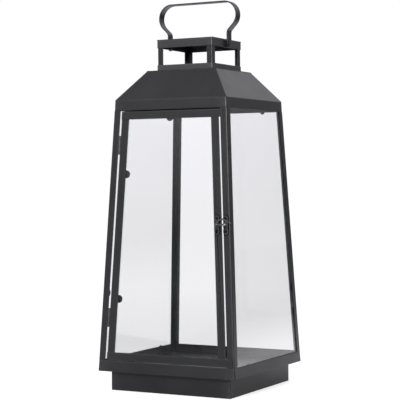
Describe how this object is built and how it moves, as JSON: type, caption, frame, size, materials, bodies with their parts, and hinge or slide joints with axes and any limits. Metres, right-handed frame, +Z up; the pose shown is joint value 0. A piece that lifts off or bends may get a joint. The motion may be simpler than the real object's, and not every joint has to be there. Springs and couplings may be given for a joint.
{
  "type": "candle lantern",
  "caption": "Tall square candle lantern, tapering glazed body with a hinged hook-latched door, hipped roof, vented chimney and a swinging strap handle.",
  "frame": {"origin": "centre of the plinth's underside", "axes": "+Z up, the door faces -Y, the handle's pivot line runs along X"},
  "size_m": [0.2454, 0.2454, 0.622],
  "materials": {
    "coat": "satin powder coat",
    "fittings": "satin, rubbed bright on the edges",
    "glass": "clear"
  },
  "bodies": {
    "frame": {"plinth": "coat", "floor_plate": "coat", "band_front": "coat", "band_right": "coat", "band_back": "coat", "band_left": "coat", "post_front_left": "coat", "post_front_right": "coat", "post_back_right": "coat", "post_back_left": "coat", "fascia_front": "coat", "fascia_right": "coat", "fascia_back": "coat", "fascia_left": "coat", "roof_front": "coat", "roof_right": "coat", "roof_back": "coat", "roof_left": "coat", "roof_crown": "coat", "chimney_collar": "coat", "chimney_post_front_left": "coat", "chimney_post_front_right": "coat", "chimney_post_back_right": "coat", "chimney_post_back_left": "coat", "chimney_band": "coat", "chimney_cap": "coat", "pane_right": "glass", "pane_back": "glass", "pane_left": "glass", "pane_tabs": "coat", "hinge_post_leaves": "fittings", "hinge_pins": "fittings", "latch_keeper": "fittings", "latch_peg": "fittings", "keeper_screws": "fittings", "handle_rivets": "coat"},
    "door": {"door_stile_left": "coat", "door_stile_right": "coat", "door_rail_top": "coat", "door_rail_bottom": "coat", "door_glass": "glass", "door_tabs": "coat", "hinge_door_leaves": "fittings", "latch_plate": "fittings", "latch_pivot": "fittings", "latch_screws": "fittings"},
    "hook": {"latch_hook": "fittings"},
    "handle": {"handle_strap": "coat"}
  },
  "joints": [
    {"name": "door_hinge", "type": "hinge", "parent": "frame", "child": "door", "pos_m": [-0.09698, -0.11018, 0.2537], "axis": [-0.0508, -0.0508, -0.9974], "range_deg": [0, 110]},
    {"name": "hook_pivot", "type": "hinge", "parent": "door", "child": "hook", "pos_m": [0.08736, -0.11156, 0.26579], "axis": [0, -0.9987, 0.0509], "range_deg": [0, 115]},
    {"name": "handle_swing", "type": "hinge", "parent": "frame", "child": "handle", "pos_m": [0, 0, 0.5534], "axis": [1, 0, 0], "range_deg": [-122, 122]}
  ]
}
